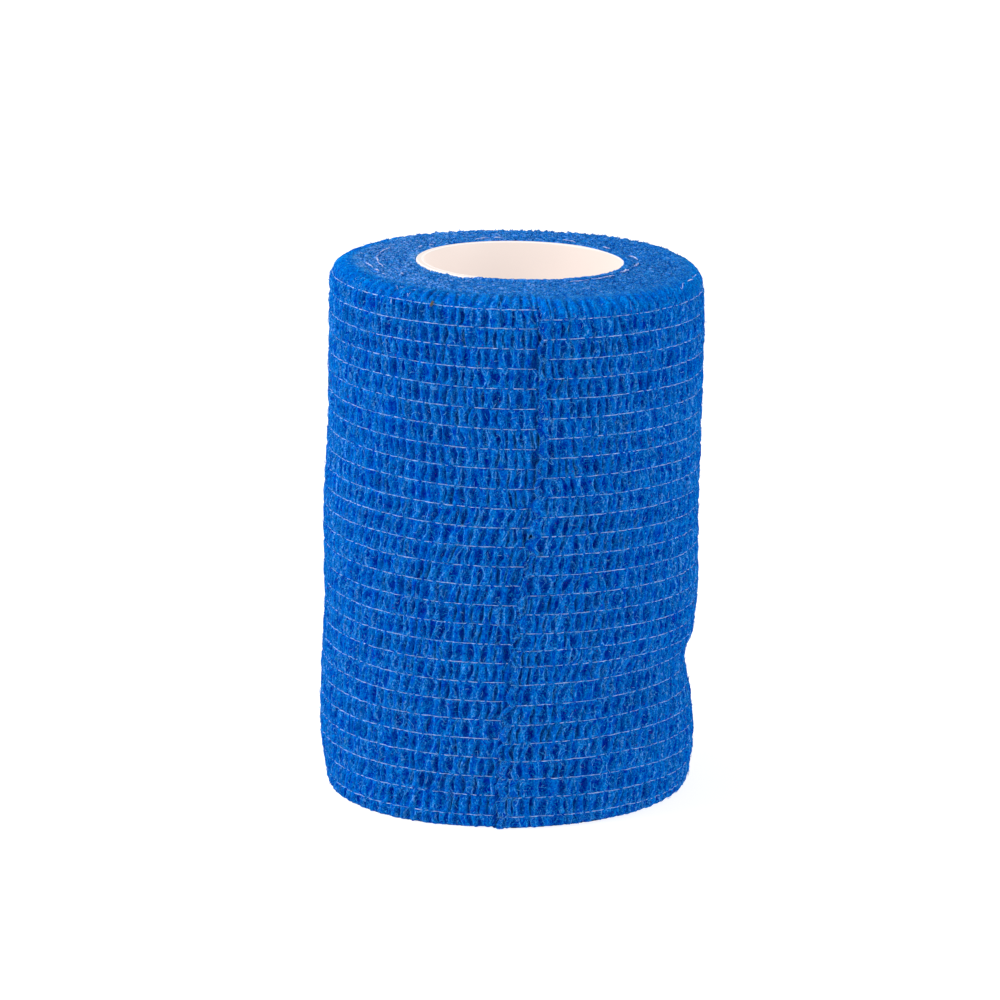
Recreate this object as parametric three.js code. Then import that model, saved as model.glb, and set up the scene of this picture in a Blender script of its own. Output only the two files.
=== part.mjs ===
// A roll of crinkled cohesive bandage, wound on a plain tube and standing on one end.
// Units are millimetres and +Z is up. The origin is under the middle of the roll, on the face
// that it stands on. -Y is the front, where the cut end of the cloth lies on the turn below it.

import * as THREE from "three";
import { mergeVertices } from "three/addons/utils/BufferGeometryUtils.js";

// Driving dimensions
const ROLL_RADIUS = 26.55; // outside of the cloth, half way along the last turn
const CLOTH_HEIGHT = 75.2; // width of the strip, which is the height of the wound cloth
const TURN = 0.7; // thickness of one turn
const TOP_SHOULDER = 2.8; // radius of the cloth's rounded top edge
const BASE_SHOULDER = 1.7; // radius of its bottom edge
const SPLAY = { azimuth: -128, around: 48, shoulder: 0.6 }; // where that edge is pressed flat
const TOP_SAG = 0.25; // how far the outer turns lie below the inner ones
const TUBE_RADIUS = 15.1; // outside of the tube
const TUBE_WALL = 1.1;
const TUBE_HEIGHT = 75.3;
const TUBE_EDGE = 0.2; // bevel at the tube's rims
const TUBE_OFFSET = new THREE.Vector2(0.83, 0.75); // the tube isn't quite in the middle
const CLEARANCE = 0.3; // between the tube and the first turn

// Elastic threads run round the roll and draw the cloth in, so that it puffs out between them.
const THREADS = 27;
const TOP_THREAD = 73.87; // height of the first thread at the inner end of the last turn
const THREAD_PITCH = 2.767;
const DRIFT = 1.5; // how much lower the upper threads lie at the cut end
const GROOVE = 0.22; // depth of the cloth at a thread
const PUFF = 0.12; // height of the cloth between two threads
const CRINKLE = 0.1; // unevenness of the puffs
const CRINKLE_SEED = 401;

// The pinched crease in the last turn: it starts at the cut end and runs down to the right.
const CREASE = {
  heightAtEnd: 23.4,
  heightAtRight: 19.1,
  depth: 1.2,
  depthAtEnd: 0.45,
  above: 2.4,
  below: 4.4,
  fadesOver: 62,
};

// Where the threads sag: how far round the last turn and up the roll, how far it spreads, and
// by how much.
const SAGS = [
  { along: 0.87, height: 20, around: 0.16, up: 14, sag: 0.6 },
  { along: 0.97, height: 48, around: 0.09, up: 20, sag: 0.45 },
  { along: 0.2, height: 45, around: 0.07, up: 35, sag: 0.6 },
  { along: 0.1, height: 17.5, around: 0.3, up: 3.5, sag: 0.15 },
  { along: 0, height: 16, around: 0.04, up: 8, sag: 0.7 },
  { along: 0.065, height: 14, around: 0.05, up: 9, sag: 0.35 },
  { along: 0.25, height: 7, around: 0.1, up: 6, sag: 0.5 },
  { along: 0.8, height: 8, around: 0.1, up: 6, sag: 0.4 },
];

// Mesh resolution
const COLUMNS = 76;
const STEP_WIDTH = 0.4; // share of a column that the step at the cut end takes
const TUBE_SEGMENTS = 72;

// The cut end's edge: distance to the right of the roll's middle, at each height.
const CUT_EDGE = [
  { height: 80, across: 2.9 },
  { height: 57, across: 3.2 },
  { height: 45, across: 3.7 },
  { height: 41, across: 2.8 },
  { height: 36, across: 1.9 },
  { height: 30, across: 1.0 },
  { height: 20, across: -0.15 },
  { height: 9, across: -0.9 },
  { height: -3, across: -1.25 },
];

// Soft bulges and hollows of the wall: where they lie, how far they spread, and how far they rise.
const BULGES = [
  { azimuth: -2, height: 7.5, around: 55, up: 5, down: 6, rise: 0.5 },
  { azimuth: -2, height: 30, around: 60, up: 7, down: 5, rise: 0.38 },
  { azimuth: -2, height: 74, around: 60, up: 5, down: 5, rise: -0.35 },
  { azimuth: -178, height: 40, around: 50, up: 5, down: 5, rise: 0.26 },
  { azimuth: -178, height: 53, around: 50, up: 4, down: 4, rise: -0.2 },
  { azimuth: -178, height: 26, around: 45, up: 3, down: 3, rise: -0.15 },
  { azimuth: -178, height: 12, around: 50, up: 5, down: 5, rise: 0.22 },
  { azimuth: 176, height: 0.5, around: 28, up: 3.2, down: 5, rise: -1.2 },
  { azimuth: -122, height: 0.5, around: 36, up: 3.5, down: 5, rise: 1.5 },
  { azimuth: -40, height: 1, around: 40, up: 4, down: 4, rise: -0.38 },
  { azimuth: 90, height: 34, around: 50, up: 12, down: 9, rise: 0.25 },
  { azimuth: 60, height: 12, around: 35, up: 5, down: 6, rise: -0.25 },
];

// Places where the outer turns stand up at the top edge.
const TOP_RISES = [
  { azimuth: 42, around: 42, rise: 0.62 },
  { azimuth: 110, around: 45, rise: 0.3 },
];

// Rings of the end faces, in the order of the section: how far in from the shoulder to the
// bore, as a share, and how far the face falls back there.
const BASE_RINGS = [
  { inward: 0.95, drop: 0 },
  { inward: 1, drop: 0.35 },
];
const TOP_RINGS = [
  { inward: 1, drop: 0.35 },
  { inward: 0.93, drop: 0.02 },
  { inward: 0.62, drop: 0 },
  { inward: 0.3, drop: 0.12 },
];

const { clamp, degToRad, euclideanModulo, lerp, radToDeg, seededRandom, smoothstep } =
  THREE.MathUtils;

// A soft hump, 1 at zero and fading within about two spreads.
function hump(distance, spread) {
  return Math.exp(-((distance / spread) ** 2));
}

// The smaller angle between two azimuths, in degrees.
function turnBetween(a, b) {
  return euclideanModulo(a - b + 180, 360) - 180;
}

// A repeatable number from -1 to 1 for a place on the grid.
function uneven(column, row) {
  return 2 * seededRandom(CRINKLE_SEED + column * ROWS + row) - 1;
}

// How far the cut edge lies to the right of the middle, straight between the table's rows.
function cutAcross(height) {
  const below = CUT_EDGE.findIndex((place) => place.height <= height);
  if (below < 1) return CUT_EDGE.at(below).across;
  const lower = CUT_EDGE[below];
  const upper = CUT_EDGE[below - 1];
  return lerp(lower.across, upper.across, (height - lower.height) / (upper.height - lower.height));
}

// Azimuth of the cut edge, in degrees, with 0 at +X and -90 at the front.
function cutAzimuth(height) {
  return -90 + radToDeg(Math.asin(cutAcross(height) / ROLL_RADIUS));
}

// Height of the crease at an azimuth, and its depth there.
function creaseAt(azimuth) {
  const fromRight = turnBetween(azimuth, 0);
  const towardsEnd = clamp(-fromRight / 90, -0.7, 1);
  const height = lerp(CREASE.heightAtRight, CREASE.heightAtEnd, towardsEnd);
  const front = smoothstep(-fromRight, 0, 90);
  const behind = hump(Math.max(fromRight, 0), CREASE.fadesOver);
  return { height, depth: lerp(CREASE.depth, CREASE.depthAtEnd, front) * behind };
}

// How far the wall stands out from a plain cylinder. Along is 0 at the cut end and 1 a turn on.
function wallRise(azimuth, height, along) {
  let rise = TURN * (0.5 - along);
  for (const b of BULGES) {
    const spread = height > b.height ? b.up : b.down;
    const around = hump(turnBetween(azimuth, b.azimuth), b.around);
    rise += b.rise * around * hump(height - b.height, spread);
  }
  const crease = creaseAt(azimuth);
  const spread = height > crease.height ? CREASE.above : CREASE.below;
  const left = 1 - smoothstep(along, 0.55, 0.75);
  return rise - crease.depth * hump(height - crease.height, spread) * left;
}

// Distance of a thread up the cloth, at a share of the last turn.
function threadHeight(thread, along) {
  const plain = TOP_THREAD - THREAD_PITCH * thread;
  let height = plain - DRIFT * smoothstep(plain, 19, 31) * (1 - along);
  for (const s of SAGS) {
    height -= s.sag * hump(along - s.along, s.around) * hump(plain - s.height, s.up);
  }
  return height;
}

// Height at which the rounded top edge starts.
function shoulderHeight(azimuth) {
  let height = CLOTH_HEIGHT - TOP_SAG - TOP_SHOULDER;
  for (const r of TOP_RISES) {
    height += r.rise * hump(turnBetween(azimuth, r.azimuth), r.around);
  }
  return height;
}

// A point of the rounded wall: distance out and height, with the direction that it faces.
// Up is measured along the cloth, and is the height where the wall is straight. Past the end
// of a shoulder the point stays where the end face starts.
function wallPoint(azimuth, up, along) {
  const outside = ROLL_RADIUS + wallRise(azimuth, up, along);
  const top = shoulderHeight(azimuth);
  const pressed = hump(turnBetween(azimuth, SPLAY.azimuth), SPLAY.around);
  const base = lerp(BASE_SHOULDER, SPLAY.shoulder, pressed);
  if (up > top) {
    const angle = Math.min((up - top) / TOP_SHOULDER, Math.PI / 2);
    const out = outside - TOP_SHOULDER * (1 - Math.cos(angle));
    return { out, height: top + TOP_SHOULDER * Math.sin(angle), angle };
  }
  if (up < base) {
    const angle = Math.max((up - base) / base, -Math.PI / 2);
    const out = outside - base * (1 - Math.cos(angle));
    return { out, height: base * (1 + Math.sin(angle)), angle };
  }
  return { out: outside, height: up, angle: 0 };
}

// Past both shoulders, measured along the cloth.
const WALL_TOP = CLOTH_HEIGHT + TOP_SHOULDER;
const WALL_BASE = -BASE_SHOULDER;
const LOWEST_PUFF = 0.75;

// The wall's rows from the top down: the shoulder, then a puff and a thread by turns.
function wallRow(row, along) {
  const puffs = 2 * THREADS + 1;
  if (row === 0) return { up: WALL_TOP, relief: 0, puffed: false };
  if (row > puffs) return { up: WALL_BASE, relief: 0, puffed: false };
  const thread = (row - 2) / 2;
  if (Number.isInteger(thread)) {
    return { up: threadHeight(thread, along), relief: -GROOVE, puffed: false };
  }
  const above = threadHeight(thread - 0.5, along);
  const below = threadHeight(thread + 0.5, along);
  const up = Math.max((above + below) / 2, LOWEST_PUFF);
  return { up, relief: PUFF, puffed: true };
}

const WALL_ROWS = 2 * THREADS + 3;
const ROWS = WALL_ROWS + BASE_RINGS.length + TOP_RINGS.length;

// Puts a point at a distance out from the middle, or from the tube's middle when inward is 1.
function place(out, azimuth, height, inward) {
  const angle = degToRad(azimuth);
  return new THREE.Vector3(
    out * Math.cos(angle) + TUBE_OFFSET.x * inward,
    out * Math.sin(angle) + TUBE_OFFSET.y * inward,
    height,
  );
}

// Degrees from the cut end. The turn stops just short of a full one, which leaves the step.
function roundFromCut(along) {
  return 360 * along * (1 - STEP_WIDTH / COLUMNS);
}

// A point of the wall, on a thread or on the puff between two of them.
function wallVertex(row, along) {
  const { up, relief, puffed } = wallRow(row, along);
  const azimuth = cutAzimuth(up) + roundFromCut(along);
  const crinkle = puffed ? CRINKLE * uneven(Math.round(along * COLUMNS), row) : 0;
  const wall = wallPoint(azimuth, up, along);
  const out = wall.out + (relief + crinkle) * Math.cos(wall.angle);
  const height = wall.height + (relief + crinkle) * Math.sin(wall.angle);
  return place(out, azimuth, height, 0);
}

// A point of an end face, between the shoulder's inner edge and the bore.
function faceVertex(ring, edge, along) {
  const outer = cutAzimuth(edge) + roundFromCut(along);
  const azimuth = lerp(outer, outer - cutAzimuth(edge) - 90, ring.inward);
  const shoulder = wallPoint(azimuth, edge, along);
  const out = lerp(shoulder.out, TUBE_RADIUS + CLEARANCE, ring.inward);
  const flat = edge > 0 ? CLOTH_HEIGHT - ring.drop : ring.drop;
  const height = lerp(shoulder.height, flat, smoothstep(ring.inward, 0, 0.8));
  return place(out, azimuth, height, ring.inward);
}

// A point of the cloth's closed section, which runs down the wall, in under the base, up the
// bore and out over the top.
function clothPoint(column, row) {
  const along = column > COLUMNS ? 0 : column / COLUMNS;
  const looped = row % ROWS;
  if (looped < WALL_ROWS) return wallVertex(looped, along);
  const ring = looped - WALL_ROWS;
  if (ring < BASE_RINGS.length) return faceVertex(BASE_RINGS[ring], WALL_BASE, along);
  return faceVertex(TOP_RINGS[ring - BASE_RINGS.length], WALL_TOP, along);
}

// A flat grid is wrapped round the roll. Its last column and its last row fall on the first
// ones, so that merging the points closes it, and the step at the cut end is its last strip.
function makeCloth() {
  const grid = new THREE.PlaneGeometry(1, 1, COLUMNS + 1, ROWS);
  const points = grid.getAttribute("position");
  for (let row = 0; row <= ROWS; row += 1) {
    for (let column = 0; column <= COLUMNS + 1; column += 1) {
      const point = clothPoint(column, row);
      points.setXYZ(row * (COLUMNS + 2) + column, point.x, point.y, point.z);
    }
  }
  grid.deleteAttribute("normal");
  grid.deleteAttribute("uv");
  const closed = mergeVertices(grid, 1e-3);
  closed.computeVertexNormals();
  return closed;
}

// The tube: a ring section with bevelled rims, turned about the axis.
function makeTube() {
  const inner = TUBE_RADIUS - TUBE_WALL;
  const section = [
    [inner + TUBE_EDGE, 0],
    [TUBE_RADIUS - TUBE_EDGE, 0],
    [TUBE_RADIUS, TUBE_EDGE],
    [TUBE_RADIUS, TUBE_HEIGHT - TUBE_EDGE],
    [TUBE_RADIUS - TUBE_EDGE, TUBE_HEIGHT],
    [inner + TUBE_EDGE, TUBE_HEIGHT],
    [inner, TUBE_HEIGHT - TUBE_EDGE],
    [inner, TUBE_EDGE],
    [inner + TUBE_EDGE, 0],
  ];
  const profile = section.map(([out, up]) => new THREE.Vector2(out, up));
  return new THREE.LatheGeometry(profile, TUBE_SEGMENTS);
}

const clothMaterial = new THREE.MeshStandardMaterial({
  color: 0x0a50bc,
  roughness: 0.95,
  metalness: 0,
});
const tubeMaterial = new THREE.MeshStandardMaterial({
  color: 0xf4ece4,
  roughness: 0.55,
  metalness: 0,
});

const cloth = new THREE.Mesh(makeCloth(), clothMaterial);
cloth.name = "bandage";

const tube = new THREE.Mesh(makeTube(), tubeMaterial);
tube.name = "core";
tube.rotation.x = Math.PI / 2;
tube.position.set(TUBE_OFFSET.x, TUBE_OFFSET.y, 0);

// The roll stands over the middle of its own outline.
const roll = new THREE.Group();
roll.add(cloth, tube);
const middle = new THREE.Box3().setFromObject(roll).getCenter(new THREE.Vector3());
roll.position.set(-middle.x, -middle.y, 0);

export default roll;
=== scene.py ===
import math

import bpy
import numpy as np
from mathutils import Matrix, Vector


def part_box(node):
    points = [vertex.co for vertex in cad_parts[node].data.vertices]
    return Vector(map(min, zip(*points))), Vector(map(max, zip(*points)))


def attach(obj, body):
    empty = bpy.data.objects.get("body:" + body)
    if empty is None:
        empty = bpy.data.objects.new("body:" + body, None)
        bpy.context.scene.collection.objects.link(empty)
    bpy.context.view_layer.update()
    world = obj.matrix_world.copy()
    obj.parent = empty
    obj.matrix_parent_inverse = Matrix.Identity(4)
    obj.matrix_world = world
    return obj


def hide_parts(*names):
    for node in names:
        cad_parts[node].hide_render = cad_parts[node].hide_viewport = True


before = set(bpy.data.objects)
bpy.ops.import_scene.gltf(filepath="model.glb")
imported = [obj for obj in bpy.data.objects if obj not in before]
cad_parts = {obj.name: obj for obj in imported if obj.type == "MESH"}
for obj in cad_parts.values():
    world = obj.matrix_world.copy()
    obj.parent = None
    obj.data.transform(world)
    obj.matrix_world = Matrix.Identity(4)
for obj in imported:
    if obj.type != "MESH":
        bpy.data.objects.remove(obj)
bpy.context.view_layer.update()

# The looks of a roll of crinkled cohesive bandage on a plain tube. Sizes are in millimetres
# until a mesh is made. Azimuths are in degrees, 0 to the right and -90 to the front. Along is
# the place in the last turn of cloth: 0 at its cut end, 1 a full turn on.

MM = 0.001

# The wound cloth, as the frame has it
TUBE_OFFSET = (0.83, 0.75)
TUBE_LOW, TUBE_HIGH = (np.array(corner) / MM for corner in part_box("core"))
TUBE_RADIUS = (TUBE_HIGH[0] - TUBE_LOW[0]) / 2
TUBE_TOP = TUBE_HIGH[2]
TUBE_CENTRE = (TUBE_LOW[:2] + TUBE_HIGH[:2]) / 2
AXIS = TUBE_CENTRE - TUBE_OFFSET
ROLL_RADIUS = 26.55
CLOTH_HEIGHT = 75.2
TURN = 0.7
TURN_LENGTH = 2 * math.pi * ROLL_RADIUS
TOP_SHOULDER = 2.8
BASE_SHOULDER = 1.7
SPLAY = {"azimuth": -128, "around": 48, "shoulder": 0.6}
TOP_SAG = 0.25
BORE = TUBE_RADIUS + 0.04
LOWEST = 0.01

# The elastic threads. Those above the second level start lower at the cut end, by the drift
THREADS = 27
TOP_THREAD = 73.87
THREAD_PITCH = 2.767
DRIFT = 1.5
DRIFT_LEVELS = (19, 31)

# Where the threads sag: along, height, spread around and up, and how far
SAGS = [
    (0.87, 20, 0.16, 14, 0.6), (0.97, 48, 0.09, 20, 0.45),
    (0.2, 45, 0.07, 35, 0.6), (0.1, 17.5, 0.3, 3.5, 0.15),
    (0, 16, 0.04, 8, 0.7), (0.065, 14, 0.05, 9, 0.35),
    (0.25, 7, 0.1, 6, 0.5), (0.8, 8, 0.1, 6, 0.4),
]

# The crease in the last turn
CREASE = {"at_end": 23.4, "at_right": 19.1, "depth": 1.2, "depth_at_end": 0.45,
          "above": 2.4, "below": 4.4, "fades_over": 62, "runs_out": (0.55, 0.75)}

# The cut edge: height, and distance to the right of the middle
CUT_HEIGHTS = [-3, 9, 20, 30, 36, 41, 45, 57, 80]
CUT_ACROSS = [-1.25, -0.9, -0.15, 1.0, 1.9, 2.8, 3.7, 3.2, 2.9]

# How far right of that line it also lies, at heights up the cloth
EDGE_LEVELS = [16, 22, 26, 32, 37, 41, 46, 52]
EDGE_SHIFTS = [0.8, 1.5, 0.9, 0.9, 0.7, 0.35, 0.35, 0.7]

# Bulges of the wall: azimuth, height, spread around, up and down, and rise
BULGES = [
    (-2, 7.5, 55, 5, 6, 0.5), (-2, 30, 60, 7, 5, 0.38),
    (-2, 74, 60, 5, 5, -0.35), (-178, 40, 50, 5, 5, 0.26),
    (-178, 53, 50, 4, 4, -0.2), (-178, 26, 45, 3, 3, -0.15),
    (-178, 12, 50, 5, 5, 0.22), (176, 0.5, 28, 3.2, 5, -1.2),
    (-122, 0.5, 36, 3.5, 5, 1.5), (-40, 1, 40, 4, 4, -0.38),
    (90, 34, 50, 12, 9, 0.25), (60, 12, 35, 5, 6, -0.25),
]

# Places where the outer turns stand up at the top edge: azimuth, spread and rise
TOP_RISES = [(42, 42, 0.62), (110, 45, 0.3), (186, 22, 0.35)]

# Dips of the top face at shares of the way in to the bore, and the share where it is level
DIP_PLACES = [0, 0.3, 0.62, 0.93, 1]
DIPS = [0.2, 0.12, 0, 0.02, 0.12]
LEVEL_FROM = 0.8

# Seeds of the random draws
SEEDS = {"ridges": 11, "threads": 5, "bits": 31, "fibres": 77, "chaff": 9}

# The camera, as worked out from the photograph's threads and ellipses
LENS = 181.93
CAMERA_ACROSS = -2.95
CAMERA_BACK = -700.5
CAMERA_HEIGHT = 210.4
CAMERA_PITCH = 13.622
CAMERA_YAW = 0.118
CAMERA_ROLL = 1.563


def ease(value, low, high):
    """From 0 below low to 1 above high, with soft ends."""
    share = np.clip((value - low) / (high - low), 0, 1)
    return share * share * (3 - 2 * share)


def hump(distance, spread):
    """1 at zero, fading within about two spreads."""
    return np.exp(-((distance / spread) ** 2))


def turn_between(a, b):
    """The smaller angle between two azimuths, in degrees."""
    return np.mod(a - b + 180, 360) - 180


def unit(vectors):
    """The vectors, each made one long."""
    return vectors / np.maximum(np.linalg.norm(vectors, axis=-1, keepdims=True), 1e-9)


def scatter(ix, iy, iz, seed):
    """Repeatable numbers from -1 to 1 for places on a whole-numbered lattice."""
    mixed = ix.astype(np.uint32) * np.uint32(374761393)
    mixed = mixed + iy.astype(np.uint32) * np.uint32(668265263)
    mixed = mixed + iz.astype(np.uint32) * np.uint32(2246822519)
    mixed = mixed + np.uint32(seed * 40503)
    mixed = (mixed ^ (mixed >> np.uint32(15))) * np.uint32(2246822519)
    mixed = (mixed ^ (mixed >> np.uint32(13))) * np.uint32(3266489917)
    mixed = mixed ^ (mixed >> np.uint32(16))
    return mixed / 2.0**31 - 1


def noise(points, cell, seed):
    """Smooth noise from -1 to 1 at points, with features of about the cell's size."""
    spots = points / cell
    whole = np.floor(spots)
    part = spots - whole
    part = part * part * (3 - 2 * part)
    whole = whole.astype(np.int64)
    total = np.zeros(points.shape[:-1])
    for corner in np.ndindex(2, 2, 2):
        weight = np.ones(points.shape[:-1])
        for axis, far in enumerate(corner):
            weight = weight * (part[..., axis] if far else 1 - part[..., axis])
        at = whole + np.array(corner)
        total += weight * scatter(at[..., 0], at[..., 1], at[..., 2], seed)
    return total


def layered_noise(points, layers):
    """Noise at several sizes. Layers are a first seed and a list of (size, strength)."""
    seed, cells = layers
    return sum(strength * noise(points, size, seed + i)
               for i, (size, strength) in enumerate(cells))


# The form of the wound cloth, the same as the solid's

def cut_azimuth(up):
    across = np.interp(up, CUT_HEIGHTS, CUT_ACROSS)
    return -90 + np.degrees(np.arcsin(across / ROLL_RADIUS))


def crease_at(azimuth):
    from_right = turn_between(azimuth, 0)
    height = CREASE["at_right"] + (CREASE["at_end"] - CREASE["at_right"]) * np.clip(
        -from_right / 90, -0.7, 1)
    front = ease(-from_right, 0, 90)
    behind = hump(np.maximum(from_right, 0), CREASE["fades_over"])
    depth = CREASE["depth"] + (CREASE["depth_at_end"] - CREASE["depth"]) * front
    return height, depth * behind


def wall_rise(azimuth, height, along):
    rise = TURN * (0.5 - along)
    for at, level, around, up, down, out in BULGES:
        spread = np.where(height > level, up, down)
        rise = rise + out * hump(turn_between(azimuth, at), around) * hump(height - level, spread)
    level, depth = crease_at(azimuth)
    spread = np.where(height > level, CREASE["above"], CREASE["below"])
    left = 1 - ease(along, *CREASE["runs_out"])
    return rise - depth * hump(height - level, spread) * left


def thread_height(thread, along):
    plain = TOP_THREAD - THREAD_PITCH * thread
    height = plain - DRIFT * ease(plain, *DRIFT_LEVELS) * (1 - along)
    for at, level, around, up, sag in SAGS:
        height = height - sag * hump(along - at, around) * hump(plain - level, up)
    return height


def shoulder_height(azimuth):
    height = CLOTH_HEIGHT - TOP_SAG - TOP_SHOULDER
    for at, around, rise in TOP_RISES:
        height = height + rise * hump(turn_between(azimuth, at), around)
    return height


def base_shoulder(azimuth):
    pressed = hump(turn_between(azimuth, SPLAY["azimuth"]), SPLAY["around"])
    return BASE_SHOULDER + (SPLAY["shoulder"] - BASE_SHOULDER) * pressed


def top_height(rim_height, inward):
    """Height of the plain top face at a share of the way in to the bore."""
    dip = np.interp(inward, DIP_PLACES, DIPS)
    level = ease(inward, 0, LEVEL_FROM)
    return rim_height + (CLOTH_HEIGHT - dip - rim_height) * level


def wall_point(azimuth, up, along):
    """Distance out, height and slope of the plain wall. Up is measured along the cloth."""
    outside = ROLL_RADIUS + wall_rise(azimuth, up, along)
    top = shoulder_height(azimuth)
    base = base_shoulder(azimuth)
    over = np.clip((up - top) / TOP_SHOULDER, 0, math.pi / 2)
    under = np.clip((up - base) / base, -math.pi / 2, 0)
    out = outside - TOP_SHOULDER * (1 - np.cos(over)) - base * (1 - np.cos(under))
    height = np.where(up > top, top + TOP_SHOULDER * np.sin(over), up)
    height = np.where(up < base, base * (1 + np.sin(under)), height)
    return out, height, over + under


def folded_point(azimuth, up, along):
    """As wall_point, and also in over the top face, with the share of the way to the bore."""
    out, height, slope = wall_point(azimuth, up, along)
    past = np.maximum(up - shoulder_height(azimuth) - TOP_SHOULDER * math.pi / 2, 0)
    inward = past / (out - BORE)
    height = np.where(past > 0, top_height(height, inward), height)
    return out - past, height, slope, inward


def place(out, azimuth, height, inward=0.0):
    """Points in the frame. Inward is 1 for what is centred on the tube, and 0 on the roll."""
    angle = np.radians(azimuth)
    x = AXIS[0] + TUBE_OFFSET[0] * inward + out * np.cos(angle)
    y = AXIS[1] + TUBE_OFFSET[1] * inward + out * np.sin(angle)
    return np.stack(np.broadcast_arrays(x, y, height), axis=-1)


def facing_out(azimuth, slope):
    """The way that the plain wall faces, where it slopes in over the top by an angle."""
    angle = np.radians(azimuth)
    return np.stack([np.cos(angle) * np.cos(slope), np.sin(angle) * np.cos(slope),
                     np.sin(slope)], axis=-1)


# The crinkles: hollows between upright ridges, in a band of cloth between each two threads

RIDGE_PITCH = 1.62
RIDGE_SHIFT = 0.38
CLOSEST_RIDGES = 1.0
WIDEST_HOLLOW = 2.3
NARROWEST_HOLLOW = 0.24
RIDGE_FLARE = 1.1
HOLLOW_ROUNDNESS = 0.8
HOLLOW_ENDS = 3.2
# How the painted shade in a hollow gathers to its middle
SHADE_MIDDLE = 1.1
BANDS = THREADS + 1
BAND_STEPS = [0, 0.06, 0.19, 0.4, 0.6, 0.81, 0.94]
TOP_STEPS = [0, 0.08, 0.16, 0.24, 0.32, 0.41, 0.5, 0.59, 0.68, 0.77, 0.86, 0.95]
BAND_BASE = -0.1
BAND_RISE = 0.22
NOTCH_DEPTH = 0.09
NOTCH_WIDTH = 0.13
FOLD = 2.4
OVERLAP = 3.0
COLUMN_STEP = 0.175
SUNK = 0.17

# Where the ridges lean: how far, and the place and spread along and up
LEAN = {"most": 0.75, "along": 0.14, "around": 0.12, "height": 17, "up": 9}

# Layers of noise: the uneven lines of the ridges, the felt's fibres and the cloth's grain
WANDER = (20, [(1.9, 0.2), (0.9, 0.2), (0.5, 0.1)])
FELT = (40, [(1.5, 0.03), (0.7, 0.075), (0.4, 0.15), (0.27, 0.17)])
GRAIN = (60, [(0.8, 0.04), (0.45, 0.05), (0.26, 0.035)])
FELT_DEPTH = 0.2
FELT_RELIEF = 0.72
GRAIN_DEPTH = 0.08
# Painted light: the felt is made paler towards the left of the top face, where more light falls
LEFT_PAINTED_LIGHT = 0.38

# The lip of the cut end, which turns in under itself, and the cloth that passes under it, with
# painted shade on that cloth beside the lip
EDGE_RADIUS = 0.3
LIP_ANGLES = [105, 80, 55, 30]
LIP_TUCK = 0.95
LIP_REACH = 1.6
LIP_LIFT = (0.06, 0.21)
LIP_LIFT_REACH = 1.2
LIP_UNEVEN = (70, [(0.8, 0.9)])
UNDER_LIP = {"sinks": 0.25, "pressed": 0.1, "shade": 0.5, "shade_above": 0.25}

# The cut edge's waves, and how far it bulges left between threads: least, and more low down
EDGE_WAVES = (90, [(6.0, 0.25), (1.9, 0.15), (0.9, 0.13)])
LOBES = (0.34, 0.42)
LOBES_UNEVEN = (96, [(2.3, 0.6)])
LOBES_FADE = (38, 56)

# Over the top: heights above the first thread, and how far the crinkles are flattened
FELT_STARTS = (2.9, 4.1)
CRINKLES_FADE = (2.6, 4.4)
# Where painted light begins on the fold over the top, which faces up to the light
FOLD_STARTS = (0.2, 1.4)
FLATTENED = 0.3
HIDDEN_DEPTH = 0.3
HIDDEN_FROM = (0.13, 0.22)


def lay_ridges(rng):
    """The ridges of each band, and the hollow right of each. They are near those above them."""
    places = np.arange(-3, TURN_LENGTH + OVERLAP + 3, RIDGE_PITCH)
    bands = []
    for _ in range(BANDS):
        places = np.sort(places + rng.normal(0, RIDGE_SHIFT, len(places)))
        places = places[np.concatenate([[True], np.diff(places) > CLOSEST_RIDGES])]
        gaps = np.diff(places)
        added = (places[:-1] + gaps * rng.uniform(0.4, 0.6, len(gaps)))[gaps > WIDEST_HOLLOW]
        places = np.sort(np.concatenate([places, added]))
        count = len(places)
        bands.append({
            "place": places,
            "half": rng.uniform(0.15, 0.38, count),
            "lean": rng.normal(0, 0.24, count),
            "bow": rng.normal(0, 0.17, count),
            "height": rng.uniform(0.04, 0.18, count),
            "depth": rng.uniform(0.35, 0.8, count),
            "skew": rng.normal(0, 0.42, count),
            # How deep the painted shade in each hollow is
            "shade": rng.uniform(0.6, 1.15, count),
            "middle": rng.uniform(-0.12, 0.12, count),
            # How strong the painted highlight on each hollow's edges is
            "shine_left": rng.uniform(0.15, 1.25, count),
            "shine_right": rng.uniform(0.15, 1.25, count),
        })
    return bands


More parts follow.
